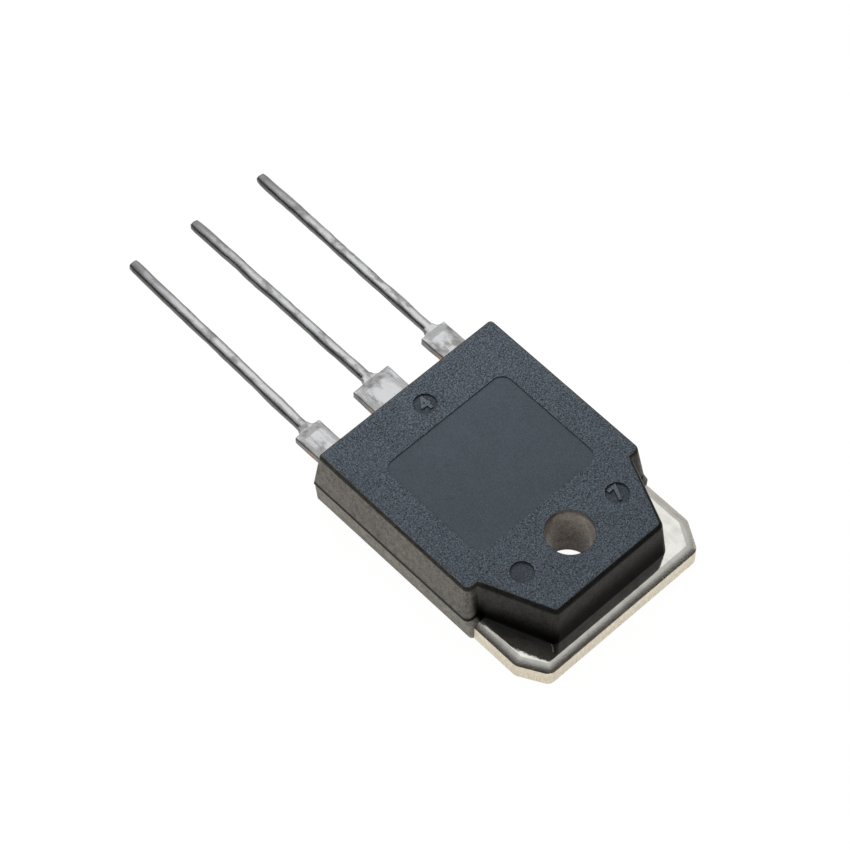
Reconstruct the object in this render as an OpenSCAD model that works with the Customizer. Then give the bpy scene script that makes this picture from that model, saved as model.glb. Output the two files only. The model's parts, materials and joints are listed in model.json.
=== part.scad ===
// Three-lead power transistor in a flat epoxy package with a through hole.
// Origin: axis of the mounting hole, on the back face. +Z points out of the front face,
// +Y points to the end of the metal tab, and the leads run towards -Y.

/* [Moulded body] */
// Width of the body at the parting line
body_w = 15.55; // [15:0.05:17]
// Distance from the hole axis to the lead end of the body
body_end = 14.85; // [14.6:0.05:16]
// Distance from the hole axis to the shoulders beside the nose
shoulder_dist = 0.9; // [0.6:0.05:1.4]
// Thickness of the whole package
body_t = 4.8; // [4.4:0.1:6]
// Height of the parting line above the back face
parting_h = 1.7; // [1.6:0.05:1.9]
// Draft of the two long sides above the parting line, in degrees
side_draft = 6; // [2:0.5:8]
// Draft of the lead end above the parting line, in degrees
end_draft = 3; // [2:0.5:8]
// Draft of the shoulders beside the nose, in degrees
shoulder_draft = 7; // [3:0.5:9]
// Draft of the walls below the parting line, in degrees
lower_draft = 3; // [1:0.5:5]
// Step between the two mould halves at the parting line
parting_step = 0.04; // [0.02:0.01:0.06]
// Radius of the upright corners at the lead end, at the front face
end_corner_r = 0.3; // [0.28:0.02:0.6]
// Radius of the same corners at the parting line
parting_corner_r = 0.12; // [0.1:0.02:0.3]
// Radius of the upright corners of the shoulders
shoulder_r = 0.45; // [0.4:0.05:0.8]
// Radius along the edges of the front face
top_r = 0.26; // [0.15:0.01:0.28]
// Reach of the lower half past the shoulders, beside the tab
band_reach = 0.3; // [0.1:0.05:0.4]

/* [Nose] */
// Width of each shoulder, from the body's side to the nose
shoulder_w = 1.05; // [0.8:0.05:1.3]
// Width of the nose at its front
nose_front_w = 9.95; // [8.5:0.05:10.2]
// Distance from the hole axis to the front of the nose
nose_end = 3.8; // [3.4:0.1:3.9]
// Draft of the nose's walls, in degrees
nose_draft = 4; // [2:0.5:7]
// Radius of the upright corners at the nose's front
nose_r = 0.5; // [0.45:0.05:0.7]
// Radius along the front edges of the nose
nose_top_r = 0.4; // [0.2:0.02:0.42]

/* [Mounting hole] */
// Diameter of the mounting hole
hole_d = 3.2; // [3:0.1:3.4]
// Wall of the epoxy that lines the hole in the plate
liner_wall = 0.5; // [0.4:0.05:0.6]

/* [Front face] */
// Width of the recessed panel
panel_w = 10.3; // [8:0.1:11]
// Length of the recessed panel
panel_l = 8.6; // [7:0.1:8.8]
// Distance from the hole axis to the near edge of the panel
panel_dist = 2.65; // [2.6:0.05:2.8]
// Depth of the recessed panel
panel_depth = 0.08; // [0.05:0.01:0.12]
// Radius of the corners of the panel
panel_r = 0.8; // [0.3:0.1:1.2]
// Diameter of the round ejector marks
mark_d = 1.54; // [1.2:0.02:1.6]
// Depth of the ejector marks
mark_depth = 0.14; // [0.08:0.01:0.16]
// Distance from the hole axis to the marks on either side of it
mark_side = 4.08; // [3.8:0.02:4.3]
// Distance from the hole axis to the mark at the lead end
mark_end = 12.85; // [12.5:0.05:13]

/* [Heat spreader] */
// Thickness of the plate
plate_t = 1.5; // [1.4:0.05:1.55]
// Distance that each side of the tab stands back from the side of the body
tab_inset = 0.3; // [0.2:0.01:0.5]
// Distance from the hole axis to the end of the tab
tab_end = 4.95; // [4.8:0.05:6]
// Length of the corner chamfer across the tab
chamfer_x = 1.12; // [0.8:0.02:1.4]
// Length of the corner chamfer along the tab
chamfer_y = 1.95; // [1.5:0.05:2.2]
// Radius of the tab's corners, in plan
tab_corner_r = 0.6; // [0.2:0.05:1]
// Height that the rolled edge drops from the plate's front
roll_drop = 0.27; // [0.2:0.01:0.32]
// Width of the rolled edge
roll_w = 0.64; // [0.4:0.02:0.65]
// Width of the epoxy on each side of the plate, on the back
side_wall = 1.4; // [1.1:0.05:1.6]
// Distance from the hole axis to the inner end of the plate, on the back
pad_end = 12.1; // [11.9:0.05:12.4]
// Reach of the locking flange past the exposed pad
flange_reach = 0.3; // [0.2:0.05:0.4]
// Thickness of the locking flange
flange_t = 0.7; // [0.5:0.05:0.8]
// Depth of the two resin locking grooves
groove_depth = 0.25; // [0.15:0.05:0.35]
// Distance from the hole axis to the groove next to the hole
groove_near = 3.0; // [2.9:0.05:3.1]
// Space between the chip's solder and the far groove
groove_gap = 0.25; // [0.2:0.05:0.35]

/* [Leads] */
// Distance between neighbouring leads
lead_pitch = 5.45; // [5.4:0.01:5.5]
// Thickness of the lead strip
lead_t = 0.6; // [0.5:0.01:0.65]
// Height of the leads' underside above the back face
lead_h = 1.4; // [1.35:0.01:1.4]
// Width of a leg
leg_w = 0.8; // [0.7:0.02:1]
// Radius of the solder-dipped edges of a leg
leg_edge_r = 0.26; // [0.1:0.01:0.28]
// Length of a lead outside the body
lead_len = 20.1; // [15:0.1:22]
// Width of the outer leads' shoulders
outer_shoulder_w = 2.04; // [1.8:0.02:2.2]
// Width of the middle lead's shoulder
middle_shoulder_w = 3.02; // [2.8:0.02:3.2]
// Length of the shoulders outside the body
shoulder_len = 3.1; // [2.5:0.1:3.6]
// Radius of the fillet between a shoulder and its leg
neck_r = 0.4; // [0.15:0.05:0.5]
// Length of the taper at a leg's tip
tip_taper = 0.5; // [0.2:0.1:1]
// Width of the end of a leg
tip_w = 0.62; // [0.5:0.02:0.68]
// Sideways lean of the base leg, in degrees
base_splay = -1.2; // [-1.5:0.1:1.5]
// Sag of the base leg towards the back, in degrees
base_sag = 1; // [-2:0.1:2]
// Sideways lean of the emitter leg, in degrees
emitter_splay = -0.7; // [-1.5:0.1:1.5]
// Sag of the emitter leg towards the back, in degrees
emitter_sag = -1.9; // [-2.5:0.1:2]

/* [Inside the body] */
// Width of the bonding posts of the outer leads
post_w = 3.3; // [2.6:0.1:3.4]
// Length of the bonding posts
post_l = 1.3; // [1:0.1:1.4]
// Gap between the plate's inner end and the bonding posts
post_gap = 0.3; // [0.2:0.05:0.4]
// Distance that each post's centre lies outside its lead's axis
post_shift = 0.1; // [0:0.05:0.2]
// Width of the leads where they pass through the end wall
root_w = 1.5; // [1.2:0.1:1.8]
// Width of the collector lead's foot on the plate
foot_w = 5; // [4.6:0.1:5.2]
// Length of the collector lead's foot
foot_l = 1.7; // [1.5:0.1:1.8]
// Diameter of the two staked studs that hold the foot
stud_d = 0.9; // [0.7:0.05:1]
// Diameter of the peened heads of the studs
stud_head_d = 1.4; // [1.2:0.05:1.5]
// Height of the peened heads
stud_head_h = 0.2; // [0.15:0.05:0.3]
// Space between a peened head and the side of the foot
stud_edge = 0.2; // [0.1:0.05:0.3]
// Side of the square chip
die_side = 5.2; // [4:0.1:5.6]
// Thickness of the chip
die_t = 0.3; // [0.2:0.02:0.4]
// Thickness of the solder under the chip
solder_t = 0.06; // [0.04:0.01:0.1]
// Width of the solder's rim round the chip
solder_rim = 0.15; // [0.1:0.05:0.3]
// Distance from the hole axis to the chip's centre
die_dist = 6.4; // [6.3:0.05:6.6]
// Diameter of the bonding wires
wire_d = 0.38; // [0.25:0.01:0.5]
// Rise of a wire's loop above its two ends
wire_rise = 1.2; // [0.9:0.05:1.4]
// Length of the flattened foot at each end of a wire
bond_l = 0.9; // [0.7:0.05:1]
// Width of a flattened foot
bond_w = 0.56; // [0.5:0.02:0.7]
// Height of a flattened foot
bond_t = 0.16; // [0.1:0.01:0.2]
// Distance between the two emitter wires on their post
wire_gap = 1.1; // [0.8:0.05:1.3]

/* [Hidden] */
$fn = 48;
hull_fn = 24;
cut = 0.5;
overlap = 0.125;
sliver = 0.01;
// angle by which a wire's arc runs on past each end, in degrees
arc_extra = 3;
// places of the wires' feet on the chip, as shares of its side from its centre
base_pad = [-0.25, -0.25];
emitter_pads = [[0.12, -0.05], [0.34, -0.2]];

// radius of the lower half's ends beside the tab
band_r = tab_inset;
upper_h = body_t - parting_h;
nose_h = body_t - plate_t;
band_dist = shoulder_dist - band_reach;
nose_root_w = body_w - 2 * shoulder_w;
tab_w = body_w - 2 * tab_inset;
// angle of the outward normal of the tab's chamfer
tab_slope = atan2(chamfer_x, chamfer_y);
pad_w = body_w - 2 * side_wall;
plate_hole_r = hole_d / 2 + liner_wall;
flange_end = pad_end + flange_reach;
post_near = flange_end + post_gap;
post_far = post_near + post_l;
foot_far = flange_end;
foot_near = foot_far - foot_l;
foot_z = lead_h;
lead_top = lead_h + lead_t;
solder_z = plate_t;
die_z = solder_z + solder_t;
die_top = die_z + die_t;
stud_x = foot_w / 2 - stud_head_d / 2 - stud_edge;
stud_y = -(foot_near + foot_l / 2);
groove_far = die_dist + die_side / 2 + solder_rim + groove_depth + groove_gap;
bond_y = post_near + post_l / 2;

// Puts a child at each of the two mirrored sides in X
module both_sides() {
    children();
    mirror([1, 0, 0]) children();
}

// Rectangle from x = -w/2 to w/2 and from y0 down to y1, given as distances towards the leads
module strip(w, y0, y1) {
    translate([-w / 2, -y1]) square([w, y1 - y0]);
}

// Rectangle with round corners, made of exact arcs
module round_rect(w, l, r) {
    square([w - 2 * r, l], center = true);
    square([w, l - 2 * r], center = true);
    for (x = [-1, 1], y = [-1, 1])
        translate([x * (w / 2 - r), y * (l / 2 - r)]) circle(r);
}

// Thin disc that a hull takes one upright corner of a block from, at its foot
module foot_corner(r) {
    cylinder(r = r, h = sliver, $fn = hull_fn);
}

// Disc of radius r whose rim is rounded by edge, below z = 0. A hull takes a corner of the face from it
module face_corner(r, edge) {
    translate([0, 0, -edge]) rotate_extrude($fn = hull_fn) intersection() {
        translate([r - edge, 0]) circle(edge, $fn = hull_fn);
        translate([0, -edge]) square([r, 2 * edge]);
    }
}

// A child disc of radius r in both corners at half width w and at y, inside the walls there
module corner_pair(w, y, r) {
    for (side = [-1, 1]) translate([side * (w - r), y]) children();
}

// Half above the parting line, with drafted walls and a rounded front edge
module upper_half() {
    w = body_w / 2;
    w_top = w - upper_h * tan(side_draft);
    end_top = body_end - upper_h * tan(end_draft);
    shoulder_top = shoulder_dist + upper_h * tan(shoulder_draft);
    hull() {
        translate([0, 0, parting_h]) {
            corner_pair(w, parting_corner_r - body_end, parting_corner_r) foot_corner(parting_corner_r);
            corner_pair(w, -shoulder_dist - shoulder_r, shoulder_r) foot_corner(shoulder_r);
        }
        translate([0, 0, body_t]) {
            corner_pair(w_top, end_corner_r - end_top, end_corner_r) face_corner(end_corner_r, top_r);
            corner_pair(w_top, -shoulder_top - shoulder_r, shoulder_r) face_corner(shoulder_r, top_r);
        }
    }
}

// Half below the parting line, a little smaller, drafted the other way and longer beside the tab
module lower_half() {
    inset = parting_h * tan(lower_draft);
    w = body_w / 2 - parting_step;
    w_back = w - inset;
    end = body_end - parting_step;
    r = parting_corner_r;
    hull() {
        translate([0, 0, parting_h - sliver]) {
            corner_pair(w, r - end, r) foot_corner(r);
            corner_pair(w, -shoulder_dist, shoulder_r) translate([0, -shoulder_r]) foot_corner(shoulder_r);
        }
        corner_pair(w_back, r - end + inset, r) foot_corner(r);
        corner_pair(w_back, -band_dist, band_r) translate([0, -band_r]) foot_corner(band_r);
        translate([0, 0, plate_t - sliver])
            corner_pair(w, -band_dist, band_r) translate([0, -band_r]) foot_corner(band_r);
    }
}

// Nose round the mounting hole, standing on the plate
module nose() {
    inset = nose_h * tan(nose_draft);
    // the root lies inside the body, on the line of the nose's slanting side
    slant = (nose_root_w - nose_front_w) / 2 / (shoulder_dist + nose_end);
    root_w = nose_root_w / 2 + 2 * shoulder_r * slant;
    root_y = -shoulder_dist - 2 * shoulder_r;
    hull() {
        translate([0, 0, plate_t]) {
            corner_pair(root_w, root_y, nose_r) foot_corner(nose_r);
            corner_pair(nose_front_w / 2, nose_end - nose_r, nose_r) foot_corner(nose_r);
        }
        translate([0, 0, body_t]) {
            corner_pair(root_w - inset, root_y, nose_r) face_corner(nose_r, nose_top_r);
            corner_pair(nose_front_w / 2 - inset, nose_end - inset - nose_r, nose_r)
                face_corner(nose_r, nose_top_r);
        }
    }
}

// Recessed panel and the three round ejector marks
module face_marks() {
    translate([0, -panel_dist - panel_l / 2, body_t - panel_depth])
        linear_extrude(panel_depth + cut) round_rect(panel_w, panel_l, panel_r);
    for (p = [[-mark_side, 0], [mark_side, 0], [0, -mark_end]])
        translate([p[0], p[1], body_t - mark_depth]) cylinder(d = mark_d, h = mark_depth + cut);
}

// Epoxy body, cast round the plate, the leads, the chip and the wires
module moulded_body() {
    color([0.27, 0.29, 0.33]) difference() {
        union() {
            upper_half();
            lower_half();
            nose();
            cylinder(r = plate_hole_r, h = plate_t + sliver);
        }
        translate([0, 0, -cut]) cylinder(d = hole_d, h = body_t + 2 * cut);
        face_marks();
        plate_solid();
        outer_lead(-1, base_splay, base_sag);
        middle_lead();
        outer_lead(1, emitter_splay, emitter_sag);
        solder_layer();
        chip();
        base_wire();
        emitter_wire(0);
        emitter_wire(1);
    }
}

// Points round a corner p of the tab, where the outline's outward normal turns from angle a to angle b
function tab_corner(p, a, b) = let (
    from = [cos(a), sin(a)], to = [cos(b), sin(b)],
    centre = p - tab_corner_r * (from + to) / (1 + from * to))
    [for (share = [0:0.25:1]) let (t = a + share * (b - a)) centre + tab_corner_r * [cos(t), sin(t)]];

// Outline of the exposed tab, with its two chamfered ends
module tab_outline() {
    w = tab_w / 2;
    right = concat([[w, -band_dist]], tab_corner([w, tab_end - chamfer_y], 0, tab_slope),
        tab_corner([w - chamfer_x, tab_end], tab_slope, 90));
    left = [for (i = [len(right) - 1:-1:0]) [-right[i][0], right[i][1]]];
    polygon(concat(right, left));
}

// Cutter that rolls the front edge of the plate along the Y axis, with the metal at x < 0
module roll_cutter(len) {
    r = (roll_w * roll_w + roll_drop * roll_drop) / (2 * roll_drop);
    rotate([90, 0, 0]) linear_extrude(len, center = true) difference() {
        translate([-roll_w, -roll_drop]) square([roll_w + cut, roll_drop + cut]);
        translate([-roll_w, -r]) circle(r, $fn = 96);
    }
}

// Rolled edges all round the exposed tab, as a blanking die leaves them
module tab_roll() {
    side_len = tab_end + band_dist;
    both_sides() {
        translate([tab_w / 2, (tab_end - band_dist) / 2, plate_t]) roll_cutter(side_len);
        translate([tab_w / 2 - chamfer_x / 2, tab_end - chamfer_y / 2, plate_t])
            rotate([0, 0, tab_slope]) roll_cutter(side_len);
    }
    translate([0, tab_end, plate_t]) rotate([0, 0, 90]) roll_cutter(tab_w);
}

// V groove across the plate that locks the epoxy to it
module groove(dist) {
    translate([0, -dist, plate_t]) rotate([90, 0, 90]) linear_extrude(pad_w, center = true)
        polygon([
            [-groove_depth, 0], [0, -groove_depth], [groove_depth, 0],
            [groove_depth, cut], [-groove_depth, cut]]);
}

// Stud that is raised out of the plate and peened over the collector's foot
module stud() {
    cylinder(d = stud_d, h = lead_t);
    translate([0, 0, lead_t]) cylinder(d1 = stud_head_d, d2 = stud_d, h = stud_head_h);
}

// The whole plate: tab, pad, locking flange, grooves, coined seat and studs
module plate_solid() {
    difference() {
        union() {
            linear_extrude(plate_t) union() {
                tab_outline();
                strip(pad_w, band_dist - cut, pad_end);
            }
            translate([0, 0, plate_t - flange_t]) linear_extrude(flange_t)
                strip(pad_w + 2 * flange_reach, band_dist - cut, flange_end);
        }
        translate([0, 0, -cut]) cylinder(r = plate_hole_r, h = plate_t + 2 * cut);
        tab_roll();
        groove(groove_near);
        groove(groove_far);
        translate([0, 0, foot_z]) linear_extrude(plate_t) strip(foot_w, foot_near, foot_far + cut);
    }
    both_sides() translate([stud_x, stud_y, foot_z]) stud();
}

// Nickel-plated copper plate that the chip is soldered to
module heat_spreader() {
    color([0.78, 0.77, 0.74]) plate_solid();
}

// Fillets in the corners between a shoulder and its leg, in plan
module neck_fillets(w) {
    both_sides() translate([w / 2, -neck_r]) difference() {
        translate([-overlap, 0]) square([neck_r + overlap, neck_r]);
        translate([neck_r, 0]) circle(neck_r);
    }
}

// Plan of a leg's outer form: straight, then tapered to the tip, from y = 0 towards -Y
module leg_plan(len) {
    polygon([
        [-leg_w / 2, cut], [leg_w / 2, cut], [leg_w / 2, tip_taper - len], [tip_w / 2, -len],
        [-tip_w / 2, -len], [-leg_w / 2, tip_taper - len]]);
}

// A leg, from its neck to its tip, with soft solder-dipped edges
module leg(splay, sag) {
    len = lead_len - shoulder_len;
    linear_extrude(lead_t) neck_fillets(leg_w);
    translate([0, 0, lead_t / 2]) rotate([sag, 0, splay]) intersection() {
        translate([0, cut, 0]) rotate([90, 0, 0]) linear_extrude(len + cut)
            round_rect(leg_w, lead_t, leg_edge_r);
        translate([0, 0, -lead_t]) linear_extrude(2 * lead_t) leg_plan(len);
    }
}

// Shoulder outside the body, with the leg that leaves it
module shoulder_and_leg(w, splay, sag) {
    linear_extrude(lead_t) strip(w, body_end, body_end + shoulder_len);
    translate([0, -body_end - shoulder_len, 0]) leg(splay, sag);
}

// Base or emitter lead: bonding post inside the body, then shoulder and leg. side is -1 or 1
module outer_lead(side, splay, sag) {
    translate([side * lead_pitch, 0, lead_h]) {
        linear_extrude(lead_t) {
            translate([side * post_shift, 0]) strip(post_w, post_near, post_far);
            strip(root_w, post_far - cut, body_end + cut);
        }
        shoulder_and_leg(outer_shoulder_w, splay, sag);
    }
}

// Collector lead: foot staked to the plate, then shoulder and leg
module middle_lead() {
    translate([0, 0, lead_h]) {
        difference() {
            linear_extrude(lead_t) strip(foot_w, foot_near, foot_far);
            both_sides() translate([stud_x, stud_y, -cut]) cylinder(d = stud_d, h = lead_t + 2 * cut);
        }
        linear_extrude(lead_t) strip(root_w, foot_far - overlap, body_end + cut);
        shoulder_and_leg(middle_shoulder_w, 0, 0);
    }
}

// Control terminal
module base_lead() {
    color([0.75, 0.75, 0.75]) outer_lead(-1, base_splay, base_sag);
}

// Terminal that is joined to the plate
module collector_lead() {
    color([0.75, 0.75, 0.75]) middle_lead();
}

// Terminal that carries the main current out
module emitter_lead() {
    color([0.75, 0.75, 0.75]) outer_lead(1, emitter_splay, emitter_sag);
}

// Square block, centred on the chip's place on the plate
module chip_square(side, z, h) {
    translate([-side / 2, -die_dist - side / 2, z]) cube([side, side, h]);
}

module chip() {
    chip_square(die_side, die_z, die_t);
}

module solder_layer() {
    chip_square(die_side + 2 * solder_rim, solder_z, solder_t);
}

// Silicon chip
module silicon_die() {
    color([0.35, 0.36, 0.42]) chip();
}

// Soft solder that fixes the chip
module die_solder() {
    color([0.6, 0.6, 0.62]) solder_layer();
}

// Flattened end of a wire: a short bar with round ends, lying along X
module bond_foot() {
    linear_extrude(bond_t) {
        square([bond_l - bond_w, bond_w], center = true);
        for (x = [-1, 1]) translate([x * (bond_l - bond_w) / 2, 0]) circle(bond_w / 2);
    }
}

// Wire in the XZ plane, from [0, z0] to [len, z1]: a round arc between two flattened feet
module wire_arc(len, z0, z1) {
    chord = sqrt(len * len + (z1 - z0) * (z1 - z0));
    r = (chord * chord / 4 + wire_rise * wire_rise) / (2 * wire_rise);
    half = asin(chord / 2 / r);
    tilt = atan2(z1 - z0, len);
    block = [wire_rise + len / 2, 2 * wire_rise, 2 * wire_rise];
    difference() {
        translate([len / 2, 0, (z0 + z1) / 2]) rotate([0, -tilt, 0])
            translate([0, 0, wire_rise - r]) rotate([90, 0, 0]) rotate([0, 0, 90 - half - arc_extra])
            rotate_extrude(angle = 2 * (half + arc_extra)) translate([r, 0]) circle(d = wire_d, $fn = 24);
        translate([-wire_rise, -wire_rise, z0 - 2 * wire_rise]) cube(block);
        translate([len / 2, -wire_rise, z1 - 2 * wire_rise]) cube(block);
    }
    translate([0, 0, z0]) bond_foot();
    translate([len, 0, z1]) bond_foot();
}

// Wire from a point on the chip to a point on a bonding post, both given in plan
module bond_wire(from, to) {
    d = to - from;
    translate([from[0], from[1], 0]) rotate([0, 0, atan2(d[1], d[0])]) wire_arc(norm(d), die_top, lead_top);
}

module base_wire() {
    bond_wire([0, -die_dist] + die_side * base_pad, [-lead_pitch, -bond_y]);
}

// The two wires lie side by side: n is 0 or 1
module emitter_wire(n) {
    bond_wire([0, -die_dist] + die_side * emitter_pads[n],
        [lead_pitch + wire_gap * (n - 1 / 2), -bond_y]);
}

// Aluminium wire to the base lead
module base_bond_wire() {
    color([0.85, 0.85, 0.87]) base_wire();
}

// Aluminium wires to the emitter lead
module emitter_bond_wire_1() {
    color([0.85, 0.85, 0.87]) emitter_wire(0);
}

module emitter_bond_wire_2() {
    color([0.85, 0.85, 0.87]) emitter_wire(1);
}

moulded_body();
heat_spreader();
base_lead();
collector_lead();
emitter_lead();
silicon_die();
die_solder();
base_bond_wire();
emitter_bond_wire_1();
emitter_bond_wire_2();
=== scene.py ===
"""A power transistor lying on its back on a white sheet, in soft light from above."""
import json
import math

import bmesh
import bpy
from mathutils import Matrix, Vector, noise

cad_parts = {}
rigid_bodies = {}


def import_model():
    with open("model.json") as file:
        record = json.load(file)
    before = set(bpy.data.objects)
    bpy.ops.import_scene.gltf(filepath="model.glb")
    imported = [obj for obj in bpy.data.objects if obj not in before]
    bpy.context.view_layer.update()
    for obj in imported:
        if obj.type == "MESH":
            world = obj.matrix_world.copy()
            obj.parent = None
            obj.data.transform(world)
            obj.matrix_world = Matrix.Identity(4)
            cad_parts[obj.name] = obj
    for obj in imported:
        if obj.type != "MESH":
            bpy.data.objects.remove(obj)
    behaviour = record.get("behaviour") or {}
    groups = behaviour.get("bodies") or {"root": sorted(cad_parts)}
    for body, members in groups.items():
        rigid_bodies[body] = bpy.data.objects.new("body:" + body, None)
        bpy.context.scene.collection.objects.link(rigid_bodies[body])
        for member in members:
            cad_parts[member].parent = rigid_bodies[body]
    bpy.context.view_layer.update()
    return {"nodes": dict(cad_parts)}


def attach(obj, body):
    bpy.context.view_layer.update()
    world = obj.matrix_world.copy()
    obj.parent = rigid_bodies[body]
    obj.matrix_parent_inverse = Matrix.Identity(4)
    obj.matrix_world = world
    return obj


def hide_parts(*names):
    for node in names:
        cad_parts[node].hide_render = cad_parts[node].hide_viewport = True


for extra in list(bpy.data.objects):
    bpy.data.objects.remove(extra)
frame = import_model()


# Moulded body
# The body is black epoxy that was pressed as a melt round the plate, the leads and the chip. Its faces copy
# the spark-eroded steel of the mould: grainy on the front, finer on the drafted walls, and nearly smooth in
# the panel and in the three round places where the ejector pins pushed it out.

# Lengths are in millimetres, and MM turns them into Blender's metres.
MM = 0.001
WELD = 0.002
SLIVER = 0.001


class Level:
    """A number that varies over a surface. Arithmetic on it adds Math nodes to its graph."""

    def __init__(self, graph, socket):
        self.graph, self.socket = graph, socket

    def math(self, operation, *values):
        return self.graph.node("ShaderNodeMath", {"operation": operation}, dict(enumerate(values)))

    def __add__(self, other):
        return self.math("ADD", self, other)

    def __sub__(self, other):
        return self.math("SUBTRACT", self, other)

    def __rsub__(self, other):
        return self.math("SUBTRACT", other, self)

    def __mul__(self, other):
        return self.math("MULTIPLY", self, other)

    __radd__ = __add__
    __rmul__ = __mul__

    def abs(self):
        return self.math("ABSOLUTE", self)

    def ramp(self, low, high, bottom=0.0, top=1.0):
        """bottom below low and top above high, with a soft passage. low may be the larger of the two."""
        return self.graph.node(
            "ShaderNodeMapRange", {"interpolation_type": "SMOOTHSTEP"},
            {"Value": self, "From Min": low, "From Max": high, "To Min": bottom, "To Max": top})

    def band(self, middle, half_width):
        """1 at middle, falling to 0 at half_width to either side of it."""
        return (self - middle).abs().ramp(half_width, 0.4 * half_width)


class Graph:
    """A tree of shader nodes. node() makes any node from its type, its settings and its inputs' values."""

    def __init__(self, tree):
        self.tree = tree

    def node(self, kind, settings=None, inputs=None, output=0):
        made = self.tree.nodes.new(kind)
        for name, value in (settings or {}).items():
            setattr(made, name, value)
        for name, value in (inputs or {}).items():
            socket = made.inputs[name]
            if isinstance(value, Level):
                self.tree.links.new(value.socket, socket)
            elif socket.type == "RGBA":
                socket.default_value = (*value, 1)
            else:
                socket.default_value = value
        return Level(self, made.outputs[output])

    def blend(self, low, high, amount):
        """Colour low where amount is 0 and colour high where it is 1."""
        return self.node("ShaderNodeMix", {"data_type": "RGBA"}, {"Factor": amount, 6: low, 7: high}, 2)


class Finish(Graph):
    """One material, with the place on the part in millimetres and the surface's direction as levels."""

    def __init__(self, name, constants=None):
        self.material = bpy.data.materials.new(name)
        self.material.use_nodes = True
        super().__init__(self.material.node_tree)
        self.shader = self.tree.nodes["Principled BSDF"]
        for socket, value in (constants or {}).items():
            self.shader.inputs[socket].default_value = value
        coordinates = self.node("ShaderNodeTexCoord", output="Object")
        self.place = self.node("ShaderNodeVectorMath", {"operation": "SCALE"},
                               {0: coordinates, "Scale": 1 / MM})
        normal = self.node("ShaderNodeNewGeometry", output="Normal")
        self.x, self.y, self.z = (self.part_of(self.place, axis) for axis in "XYZ")
        self.normal_x, self.normal_z = (self.part_of(normal, axis) for axis in "XZ")

    def part_of(self, vector, axis):
        return self.node("ShaderNodeSeparateXYZ", None, {0: vector}, axis)

    def noise(self, per_mm, detail=2.0, stretch=(1, 1, 1), roughness=0.5, shift=0.0):
        """Cloudy noise of about 0 to 1, with so many lumps per millimetre along each axis."""
        place = self.node("ShaderNodeVectorMath", {"operation": "MULTIPLY_ADD"},
                          {0: self.place, 1: stretch, 2: (shift, shift, shift)})
        return self.node("ShaderNodeTexNoise", None,
                         {"Vector": place, "Scale": per_mm, "Detail": detail, "Roughness": roughness})

    def bump(self, height, depth_mm):
        """Raises the surface by height times depth_mm, for its light and shade only."""
        self.feed(Normal=self.node("ShaderNodeBump", None, {"Height": height, "Distance": depth_mm * MM}))

    def feed(self, **levels):
        for socket, level in levels.items():
            self.tree.links.new(level.socket, self.shader.inputs[socket.replace("_", " ")])


def dressed_copy(node, crease=28.0):
    """A copy of a CAD node's mesh, to stand for that node. Its points are welded, and the edges that bend by
    crease degrees or more stay crisp."""
    mesh = bpy.data.meshes.new(node)
    welded = bmesh.new()
    welded.from_mesh(frame["nodes"][node].data)
    bmesh.ops.remove_doubles(welded, verts=welded.verts, dist=WELD * MM)
    bmesh.ops.dissolve_degenerate(welded, dist=SLIVER * MM, edges=welded.edges)
    for face in welded.faces:
        face.smooth = True
    for edge in welded.edges:
        edge.smooth = len(edge.link_faces) == 2 and edge.calc_face_angle() < math.radians(crease)
    welded.to_mesh(mesh)
    welded.free()
    piece = bpy.data.objects.new(node + "_dressed", mesh)
    bpy.context.collection.objects.link(piece)
    shade = piece.modifiers.new("even normals", "WEIGHTED_NORMAL")
    shade.keep_sharp = True
    shade.weight = 100
    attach(piece, "root")
    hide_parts(node)
    return piece


def put_on(finish, piece, node):
    """Gives a finish to a piece and to the CAD node that it stands for."""
    for thing in (piece, frame["nodes"][node]):
        thing.data.materials.clear()
        thing.data.materials.append(finish.material)


FACE_Z = 4.8
PANEL_FLOOR = 4.72
MARK_FLOOR = 4.66
FIGURE_Z = 4.77
PARTING_Z = 1.7
PLATE_Z = 1.5
HOLE_R = 1.6
SHOULDERS_END_Y = (-1.6, -0.9)
NOSE_EDGE_X = (7.3, 6.9)
SOFT = 0.02
# Each painted shade runs from where it starts to where it is full, so far from the front face or the parting
# line.
EDGE_SHADE = (0.38, 0.20)
PARTING_SHADE = (0.40, 0.18)
RIM_SHADE = (0.6, 0.1)
GRAIN_REACH = 0.05

body = dressed_copy("moulded_body")
epoxy = Finish("spark_eroded_epoxy", {"Specular IOR Level": 0.05})
level_face = epoxy.normal_z.abs().ramp(0.86, 0.99)
in_panel = epoxy.z.ramp(FACE_Z - SOFT, PANEL_FLOOR + SOFT) * epoxy.z.ramp(MARK_FLOOR, PANEL_FLOOR - SOFT)
above_parting = epoxy.z.ramp(PARTING_Z - SOFT, PARTING_Z + SOFT)
past_shoulders = epoxy.y.ramp(*SHOULDERS_END_Y)
on_nose = past_shoulders * epoxy.z.ramp(PLATE_Z - SOFT, PLATE_Z) * epoxy.x.abs().ramp(*NOSE_EDGE_X)
axis_squared = epoxy.x * epoxy.x + epoxy.y * epoxy.y
from_axis = axis_squared.math("SQRT", axis_squared)
in_hole = from_axis.ramp(HOLE_R + 0.03, HOLE_R + 0.01)
on_wall = (1 - level_face) * (1 - in_hole)
# Painted shade: the walls darken under the front edges and just above the parting line.
edges = epoxy.z.ramp(FACE_Z - EDGE_SHADE[0], FACE_Z - EDGE_SHADE[1]) * on_wall
parting_shade = (epoxy.z.ramp(PARTING_Z + PARTING_SHADE[0], PARTING_Z + PARTING_SHADE[1])
                 * above_parting * on_wall)
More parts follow.
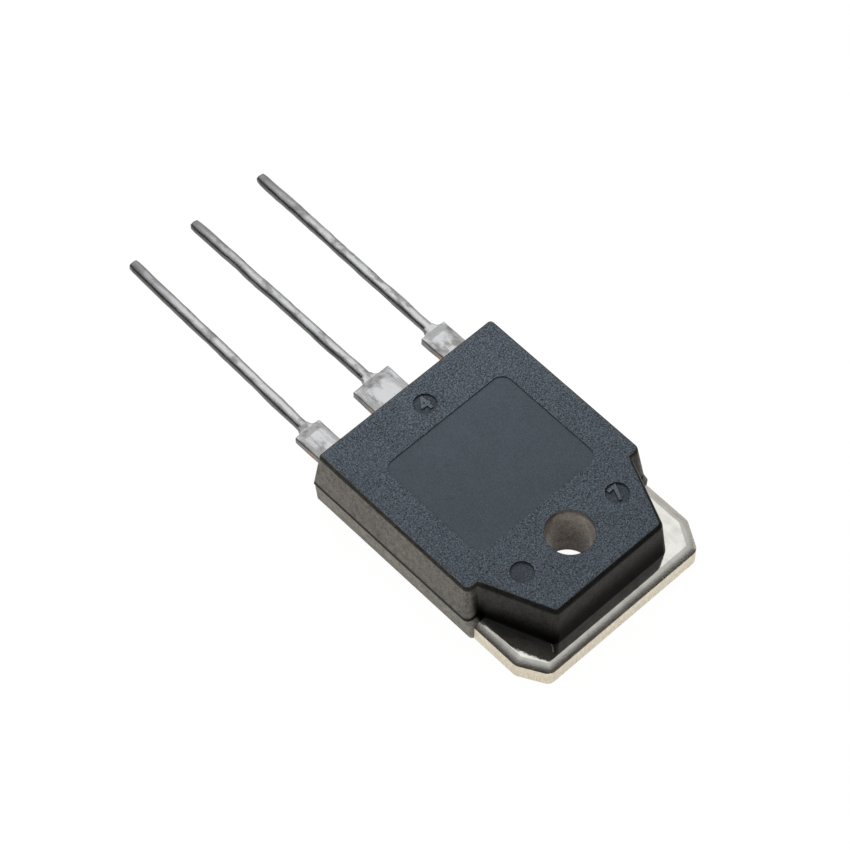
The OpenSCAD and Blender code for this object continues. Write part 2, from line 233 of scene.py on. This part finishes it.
# The back lies lower than the marks' floors too, so in_mark is also 1 on the back.
# The marks' recessed floors get painted shade through in_mark.
in_mark = epoxy.z.ramp(MARK_FLOOR + 0.03, MARK_FLOOR + 0.01) * level_face
figure_top = epoxy.z.band(FIGURE_Z, SOFT) * level_face
# Painted shade on the upper part of the hole's wall, under its rim.
painted_rim_shade = epoxy.z.ramp(FACE_Z - RIM_SHADE[0], FACE_Z - RIM_SHADE[1]) * in_hole
grainy = level_face * (1 - in_panel) * (1 - 0.7 * in_mark)
grain = epoxy.noise(9.0, 2.0, roughness=0.7)
specks = epoxy.noise(11.0, 1.0, shift=5.0)
# Painted glints: sparse bright specks in the grain are painted into the colour as highlights.
painted_glints = specks.ramp(0.60, 0.72) * grainy
patches = epoxy.noise(0.45, 3.0, shift=11.0)
mottle = epoxy.noise(2.2, 4.0, roughness=0.65, shift=2.0)
grain_depth = 0.004 + 0.036 * grainy + 0.008 * (1 - level_face)
epoxy.bump((grain * 0.5 + specks * 0.5) * grain_depth * (1 / GRAIN_REACH), GRAIN_REACH)
speckle = (grain - 0.5) * (1.8 - 1.2 * level_face + 2.0 * grainy) + (specks - 0.47) * (0.8 + 1.6 * grainy)
# shade gathers the painted shade: under the front edges, above the parting line, on the marks' floors and
# under the hole's rim.
shade = ((1 - (0.78 - 0.14 * on_nose) * edges) * (1 - 0.90 * parting_shade)
         * (1 - 0.28 * in_mark) * (1 - 0.6 * painted_rim_shade))
# The raised figures' tops are painted lighter, a painted highlight.
tone = shade * (1 + speckle + 1.6 * painted_glints + (patches - 0.5) * 0.30
                + (mottle - 0.5) * (1.5 - 1.3 * level_face)
                - 0.03 * in_panel * level_face + 0.5 * figure_top)

# Real epoxy has about one colour all over. Here the zones' colours also carry painted light and shade: the
# hole's lining and the side walls are paler than the front, paler still below the parting line where they
# face the sheet, and the nose walls get painted shade that darkens downwards.
nose_foot, nose_top = (0.005, 0.005, 0.004), (0.120, 0.116, 0.106)
side_below_parting, side_above_parting = (0.740, 0.700, 0.630), (0.520, 0.492, 0.445)
hole_lining = (1.000, 0.905, 0.820)
front = (0.187, 0.221, 0.261)
nose_walls = epoxy.blend(nose_foot, nose_top, epoxy.z.ramp(PLATE_Z + 0.5, FACE_Z - 0.7))
side_walls = epoxy.blend(side_below_parting, side_above_parting, above_parting)
outer_walls = epoxy.blend(side_walls, nose_walls, on_nose)
walls = epoxy.blend(outer_walls, hole_lining, in_hole)
base = epoxy.blend(walls, front, level_face)
# An average tone of 1 gives half of the zone's colour, which leaves room for painted glints up to the whole
# of it.
epoxy.feed(
    Base_Color=epoxy.blend((0, 0, 0), base, tone * 0.5),
    Roughness=0.40 + 0.14 * grainy - 0.12 * on_nose - 0.22 * in_hole + (patches - 0.5) * 0.10,
)
put_on(epoxy, body, "moulded_body")

# The pins' faces carry plain cavity numerals, so two of the round marks hold a raised figure. It becomes a
# mesh in the part's own coordinates, because the epoxy's finish goes by the height above the back.
FIGURE_SIZE = 1.45
STROKE_OFFSET = 0.03
FIGURE_EXTRUDE = 0.04
FIGURE_BEVEL = 0.02

for figure, place in (("4", (0, -12.85)), ("7", (-4.08, 0))):
    letters = bpy.data.curves.new("figure_" + figure, "FONT")
    letters.body = figure
    letters.align_x, letters.align_y = "CENTER", "CENTER"
    letters.size = FIGURE_SIZE * MM
    letters.offset = STROKE_OFFSET * MM
    letters.extrude = FIGURE_EXTRUDE * MM
    letters.bevel_depth = FIGURE_BEVEL * MM
    drawn_figure = bpy.data.objects.new("figure_" + figure, letters)
    drawn_figure.location = Vector((*place, FIGURE_Z - (FIGURE_EXTRUDE + FIGURE_BEVEL))) * MM
    drawn_figure.rotation_euler.z = math.radians(180)
    bpy.context.collection.objects.link(drawn_figure)
    graph = bpy.context.evaluated_depsgraph_get()
    raised = bpy.data.meshes.new_from_object(drawn_figure.evaluated_get(graph))
    raised.transform(drawn_figure.matrix_world)
    bpy.data.objects.remove(drawn_figure)
    numeral = bpy.data.objects.new("cavity_numeral_" + figure, raised)
    bpy.context.collection.objects.link(numeral)
    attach(numeral, "root")
    raised.materials.clear()
    raised.materials.append(epoxy.material)


# Heat spreader
# The plate is stamped from 1.5 mm copper strip and nickel plated. The punch rolls its front edges over, and
# the cut edge below them is half sheared smooth, half torn.

SHEAR_Z = 0.62
SCRATCH_FROM = (4.50, 2.95)
SCRATCH_TO = (5.32, 4.12)
SCRATCH_HALF_WIDTH = 0.035

plate = dressed_copy("heat_spreader", crease=25.0)
nickel = Finish("nickel_plate_on_copper", {"Metallic": 1.0})
ripple = nickel.noise(1.1, 2.0, shift=3.0)
scuffs = nickel.noise(2.5, 3.0, (1, 0.12, 1), roughness=0.6)
pores = nickel.noise(14.0, 2.0)
# flatness is 1 on the front and the back, and 0 on an upright edge.
flatness = nickel.normal_z.abs()
cut_edge = flatness.ramp(0.35, 0.05)
torn = nickel.z.ramp(SHEAR_Z, SHEAR_Z - 0.15) * cut_edge
shear_line = nickel.z.band(SHEAR_Z, 0.05) * cut_edge
strokes = nickel.noise(9.0, 3.0, (1, 1, 0.25), shift=7.0)
run, rise = SCRATCH_TO[0] - SCRATCH_FROM[0], SCRATCH_TO[1] - SCRATCH_FROM[1]
length = math.hypot(run, rise)
across = (nickel.x - SCRATCH_FROM[0]) * (rise / length) - (nickel.y - SCRATCH_FROM[1]) * (run / length)
scratch = (across.band(0, SCRATCH_HALF_WIDTH) * nickel.y.ramp(SCRATCH_TO[1], SCRATCH_TO[1] - 0.2)
           * nickel.x.ramp(SCRATCH_FROM[0] - 0.1, SCRATCH_FROM[0]) * nickel.normal_z.ramp(0.7, 0.9))
rolled = flatness.ramp(0.995, 0.93)
peel = nickel.noise(11.0, 3.0, roughness=0.7, shift=1.0)
nickel.bump(ripple * 0.3 + scuffs * 0.04 + pores * 0.03 + peel * 0.8 * rolled, 0.03)
sheared_metal = nickel.blend((0.61, 0.55, 0.44), (0.75, 0.69, 0.56), strokes.ramp(0.35, 0.65))
edge_metal = nickel.blend(sheared_metal, (0.40, 0.35, 0.28), shear_line * strokes.ramp(0.45, 0.55) * 0.6)
stained = nickel.blend((0.76, 0.74, 0.69), (0.64, 0.62, 0.57),
                       ripple.ramp(0.36, 0.64) * scuffs.ramp(0.3, 0.6))
# Painted reflection: the rolled edges are darker and browner where they bend down.
face_metal = nickel.blend(stained, (0.58, 0.51, 0.43), flatness.ramp(0.95, 0.72))
nickel.feed(
    Base_Color=nickel.blend(face_metal, edge_metal, cut_edge),
    Roughness=0.03 + 0.05 * scuffs + 0.24 * rolled + 0.10 * torn + 0.35 * scratch,
)
put_on(nickel, plate, "heat_spreader")


# Leads
# Each lead is stamped from 0.6 mm copper strip, then dipped in molten solder after the body is moulded. The
# solder rounds the edges, runs a little thick and thin, and leaves the sheared side of the shoulder bare in
# places next to the body.

BODY_END_Y = -14.85
NECK_Y = -17.95
TIP_Y = -34.95
LEG_HALF_WIDTH = 0.40
SHOULDER_CROWN = 0.17
LEG_CROWN = 0.05
CROWN_FADE = 0.6
LUMP_HEIGHT = 0.045
RIPPLE_HEIGHT = 0.018
COAT_FADE = 0.4
SKIN_GRID = 0.05
COPPER = (0.45, 0.21, 0.10)


def solder_coat(place, normal, middle_x, half_shoulder):
    """How far the solder stands out from the copper at a point of a lead's outer part, all in mm."""
    on_shoulder = place.y > NECK_Y
    half_width = half_shoulder if on_shoulder else LEG_HALF_WIDTH
    lumps = noise.noise(Vector((place.x * 1.1, place.y * 0.55, place.z * 1.1)) + Vector((3, 8, 1)))
    ripples = noise.noise(Vector((place.x * 2.6, place.y * 1.4, place.z * 2.6)))
    from_middle = min(1.0, abs(place.x - middle_x) / half_width)
    # the crown pulls back from the shoulder's end, where the leg begins
    crown = (SHOULDER_CROWN if on_shoulder else LEG_CROWN) * min(1.0, abs(place.y - NECK_Y) / CROWN_FADE)
    return crown * (1 - from_middle ** 2) * normal.z ** 2 + LUMP_HEIGHT * lumps + RIPPLE_HEIGHT * ripples


dip = Finish("dipped_solder", {"Metallic": 1.0})
blotches = dip.noise(1.6, 3.0, (1, 0.5, 1), roughness=0.6, shift=4.0)
crystals = dip.noise(8.0, 2.0, (1, 0.6, 1), shift=8.0)
near_body = dip.y.ramp(-17.2, -15.2)
sheared = dip.normal_x.abs().ramp(0.45, 0.85)
bare = sheared * near_body * blotches.ramp(0.42, 0.52)
dull = blotches.ramp(0.48, 0.66)
tin = dip.blend((0.63, 0.63, 0.635), (0.38, 0.375, 0.37), dull)
# The last 6 mm of each leg grow darker towards the tip.
darker_towards_tips = dip.blend(tin, (0.30, 0.30, 0.31), dip.y.ramp(-28.5, -34.5) * (0.5 + 0.5 * blotches))
# Painted shade: the lead's sides are darkened, in place of the lead's own shadow on the sheet that they
# reflect.
sides_in_painted_shade = dip.blend(darker_towards_tips, (0.13, 0.13, 0.135), sheared * 0.9)
dip.bump(blotches * 0.3 + crystals * 0.16, 0.06)
dip.feed(
    Base_Color=dip.blend(sides_in_painted_shade, COPPER, bare),
    Roughness=0.18 + 0.14 * dull + 0.10 * crystals + 0.15 * sheared,
)
for name, lead_x, tip_x, half_shoulder in (
        ("base_lead", -5.45, -5.81, 1.02),
        ("collector_lead", 0, 0, 1.51),
        ("emitter_lead", 5.45, 5.24, 1.02)):
    lead = dressed_copy(name)
    # the solder needs a fine even mesh with soft edges, so this one takes the place of the welded copy
    lead.modifiers.clear()
    skin = lead.modifiers.new("even skin", "REMESH")
    skin.mode = "VOXEL"
    skin.voxel_size = SKIN_GRID * MM
    soften = lead.modifiers.new("dipped edges", "SMOOTH")
    soften.factor, soften.iterations = 0.5, 12
    coated = bpy.data.meshes.new_from_object(lead.evaluated_get(bpy.context.evaluated_depsgraph_get()))
    coated.name = name + "_coated"
    lead.modifiers.clear()
    lead.data = coated
    normals = [Vector(corner.vector) for corner in coated.vertex_normals]
    for vertex, normal in zip(coated.vertices, normals):
        place = vertex.co / MM
        along = min(1.0, max(0.0, (place.y - NECK_Y) / (TIP_Y - NECK_Y)))
        out = solder_coat(place, normal, lead_x + (tip_x - lead_x) * along, half_shoulder)
        # the solder thins out towards the body, and the very tip keeps its length
        out *= min(1.0, max(0.0, (BODY_END_Y - place.y) / COAT_FADE)) * (1 - abs(normal.y))
        vertex.co = (place + normal * out) * MM
    coated.polygons.foreach_set("use_smooth", [True] * len(coated.polygons))
    put_on(dip, lead, name)


# Chip, solder and bonding wires
# A square of silicon is soldered to the plate, and aluminium wires are welded from it to the two outer leads.
# All of it is sealed in the epoxy.

silicon = Finish("polished_silicon", {"Metallic": 1.0})
cells = silicon.node("ShaderNodeTexBrick", {"offset": 0.0},
                     {"Vector": silicon.place, "Scale": 1.0, "Mortar Size": 0.05}, "Fac")
silicon.feed(Base_Color=silicon.blend((0.42, 0.43, 0.48), (0.22, 0.22, 0.26), cells),
             Roughness=0.12 + 0.10 * silicon.noise(3.0))
solder = Finish("soft_solder", {"Metallic": 1.0})
solder.bump(solder.noise(4.0), 0.01)
solder.feed(Base_Color=solder.blend((0.45, 0.45, 0.47), (0.60, 0.60, 0.62), solder.noise(2.0)),
            Roughness=0.30 + 0.20 * solder.noise(6.0))
wire = Finish("drawn_aluminium", {"Metallic": 1.0})
drawn = wire.noise(20.0, 1.0, (1, 0.1, 1))
wire.bump(drawn, 0.003)
wire.feed(Base_Color=wire.blend((0.78, 0.78, 0.80), (0.86, 0.86, 0.88), drawn), Roughness=0.22 + 0.15 * drawn)
for node, finish in (("silicon_die", silicon), ("die_solder", solder), ("base_bond_wire", wire),
                     ("emitter_bond_wire_1", wire), ("emitter_bond_wire_2", wire)):
    frame["nodes"][node].material_slots[0].material = finish.material


# White sheet
# The part lies on a white sheet of paper that runs out past the picture. The camera sees it as mostly plain
# white with a trace of the part's shadow, and the metal sees it as an even bright field without one.

SHEET_REACH = 3000
SHEET_GAP = 0.01
PLAIN_WHITE = 1.12
PLAIN_SHARE = 0.85

sheet_mesh = bpy.data.meshes.new("white_sheet")
reach = SHEET_REACH * MM
corners = [(x * reach, y * reach, 0) for x, y in ((-1, -1), (1, -1), (1, 1), (-1, 1))]
sheet_mesh.from_pydata(corners, [], [range(4)])
sheet = bpy.data.objects.new("white_sheet", sheet_mesh)
sheet.location.z = -SHEET_GAP * MM
bpy.context.collection.objects.link(sheet)
paper = Finish("white_paper", {"Base Color": (0.86, 0.85, 0.83, 1), "Roughness": 0.9})
is_glossy = paper.node("ShaderNodeLightPath", output="Is Glossy Ray")
is_camera = paper.node("ShaderNodeLightPath", output="Is Camera Ray")
glow = paper.node("ShaderNodeEmission", None, {"Color": (1.0, 0.985, 0.955)})
white = paper.node("ShaderNodeEmission", None, {"Strength": PLAIN_WHITE})
lit = Level(paper, paper.shader.outputs[0])
in_metal = paper.node("ShaderNodeMixShader", None, {0: is_glossy, 1: lit, 2: glow})
seen = paper.node("ShaderNodeMixShader", None, {0: is_camera * PLAIN_SHARE, 1: in_metal, 2: white})
paper.tree.links.new(seen.socket, paper.tree.nodes["Material Output"].inputs["Surface"])
sheet_mesh.materials.append(paper.material)


# Light and camera
# A wide softbox hangs above the leads, and two fills light the sides without showing in the metal. The white
# room gets darker towards the viewer. The camera looks down on the tab end through a long lens.

BRIGHT_SIDE = (-0.43, -0.46, 0.777)

world = bpy.data.worlds.new("soft_room")
bpy.context.scene.world = world
world.use_nodes = True
room = Graph(world.node_tree)
direction = room.node("ShaderNodeTexCoord", output="Generated")
lean = room.node("ShaderNodeVectorMath", {"operation": "DOT_PRODUCT"},
                 {0: direction, 1: BRIGHT_SIDE}, "Value")
camera_ray = room.node("ShaderNodeLightPath", output="Is Camera Ray")
dome = lean.ramp(0.22, 1.0, 0.04, 0.66)
brightness = dome.math("MAXIMUM", dome, camera_ray)
background = room.tree.nodes["Background"]
background.inputs["Color"].default_value = (1, 1, 1, 1)
room.tree.links.new(brightness.socket, background.inputs["Strength"])

for name, size, energy, color, place, aim, in_mirror in (
        ("softbox", 56, 0.0035, (0.94, 0.97, 1.00), (-29, -47, 72), (0, -16, 3), True),
        ("side_fill", 60, 0.0180, (1.00, 0.98, 0.95), (76, 16, 51), (4, -6, 2), False),
        ("rear_fill", 24, 0.0060, (0.96, 0.98, 1.00), (-14, -30, 36), (-6, -14, 4), False)):
    disk = bpy.data.lights.new(name, "AREA")
    disk.shape = "DISK"
    disk.size, disk.energy, disk.color = size * MM, energy, color
    lamp = bpy.data.objects.new(name, disk)
    lamp.location = Vector(place) * MM
    lamp.rotation_euler = (Vector(aim) * MM - lamp.location).to_track_quat("-Z", "Y").to_euler()
    lamp.visible_glossy = in_mirror
    bpy.context.collection.objects.link(lamp)

CAMERA_AZIMUTH = math.radians(136.914)
CAMERA_ELEVATION = math.radians(57.463)
CAMERA_ROLL = math.radians(-0.346)
CAMERA_DISTANCE = 225.5 * MM
FOCAL_PIXELS = 3576.0
FRAME_PIXELS = 850
SENSOR_WIDTH = 36.0

target = Vector((-0.128, -13.02, 2.0)) * MM
back = Vector((
    math.sin(CAMERA_AZIMUTH) * math.cos(CAMERA_ELEVATION),
    -math.cos(CAMERA_AZIMUTH) * math.cos(CAMERA_ELEVATION),
    math.sin(CAMERA_ELEVATION)))
level = Vector((0, 0, 1)).cross(back).normalized()
upright = back.cross(level)
right = math.cos(CAMERA_ROLL) * level + math.sin(CAMERA_ROLL) * upright
up = back.cross(right)
camera_data = bpy.data.cameras.new("camera")
camera_data.sensor_width = SENSOR_WIDTH
camera_data.lens = FOCAL_PIXELS * SENSOR_WIDTH / FRAME_PIXELS
camera_data.clip_start, camera_data.clip_end = 0.01, 20.0
camera = bpy.data.objects.new("camera", camera_data)
bpy.context.collection.objects.link(camera)
turn = Matrix((right, up, back)).transposed().to_4x4()
camera.matrix_world = Matrix.Translation(target + CAMERA_DISTANCE * back) @ turn
bpy.context.scene.camera = camera
bpy.context.scene.view_settings.view_transform = "Standard"
